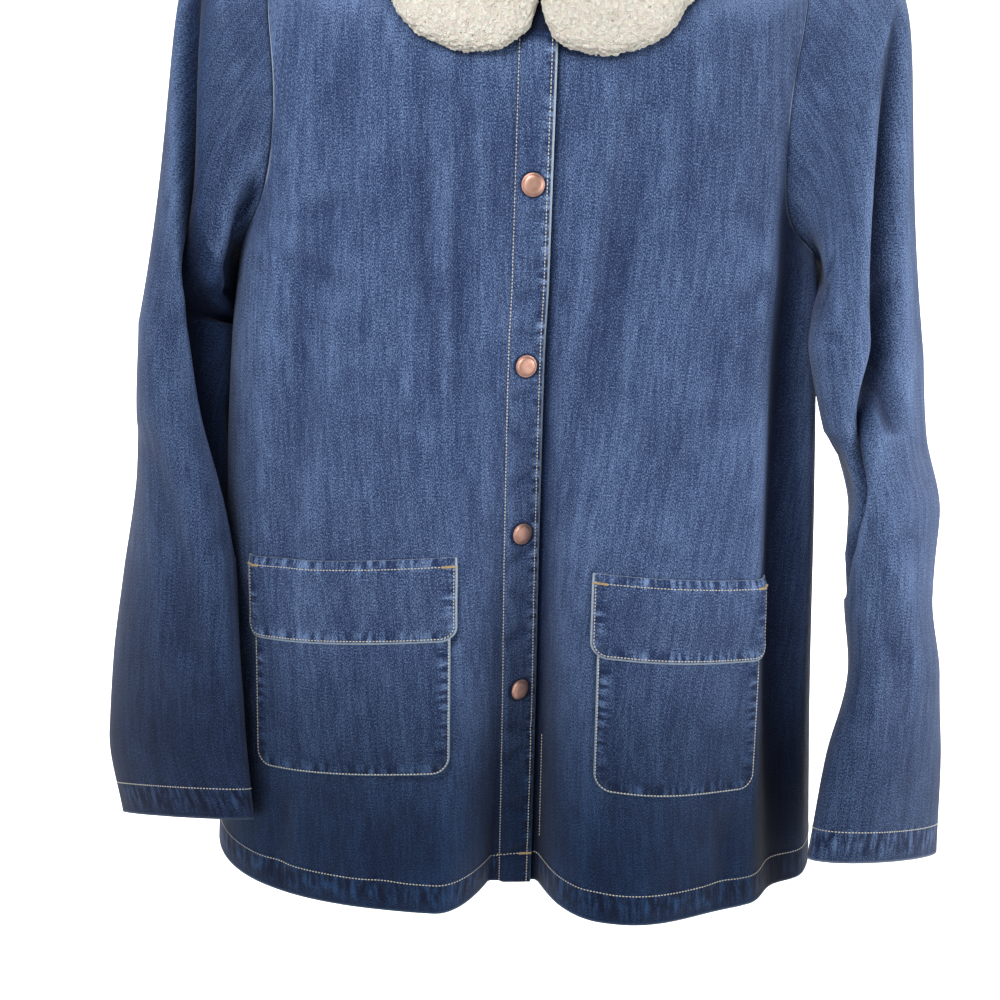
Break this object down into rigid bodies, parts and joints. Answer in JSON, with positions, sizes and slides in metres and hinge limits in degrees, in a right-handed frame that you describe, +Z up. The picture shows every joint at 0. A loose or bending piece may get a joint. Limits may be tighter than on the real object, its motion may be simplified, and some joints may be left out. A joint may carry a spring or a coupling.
{
  "type": "denim jacket",
  "caption": "Hip-length denim jacket with a round fleece collar, a snapped front placket, set-in sleeves and flapped patch pockets, hanging filled out and open at the hem.",
  "frame": {"origin": "midway between the two points where the shoulder seams meet the neckline, where a neck or a hook holds the jacket", "axes": "+Z up along the jacket from hem to neck, -Y out of its front, +X towards the wearer's left"},
  "size_m": [0.6495, 0.2338, 0.723],
  "materials": {
    "denim": "washed mid-blue cotton twill, matt",
    "fleece": "ivory looped pile, matt",
    "copper": "satin copper-coloured caps"
  },
  "bodies": {
    "root": {"front_right": "denim", "front_left": "denim", "back": "denim", "sleeve_right_front": "denim", "sleeve_right_back": "denim", "sleeve_left_front": "denim", "sleeve_left_back": "denim", "placket": "denim", "snap_1": "copper", "snap_2": "copper", "snap_3": "copper", "snap_4": "copper", "right_pocket": "denim", "right_pocket_flap": "denim", "left_pocket": "denim", "left_pocket_flap": "denim", "collar": "fleece"}
  },
  "joints": []
}
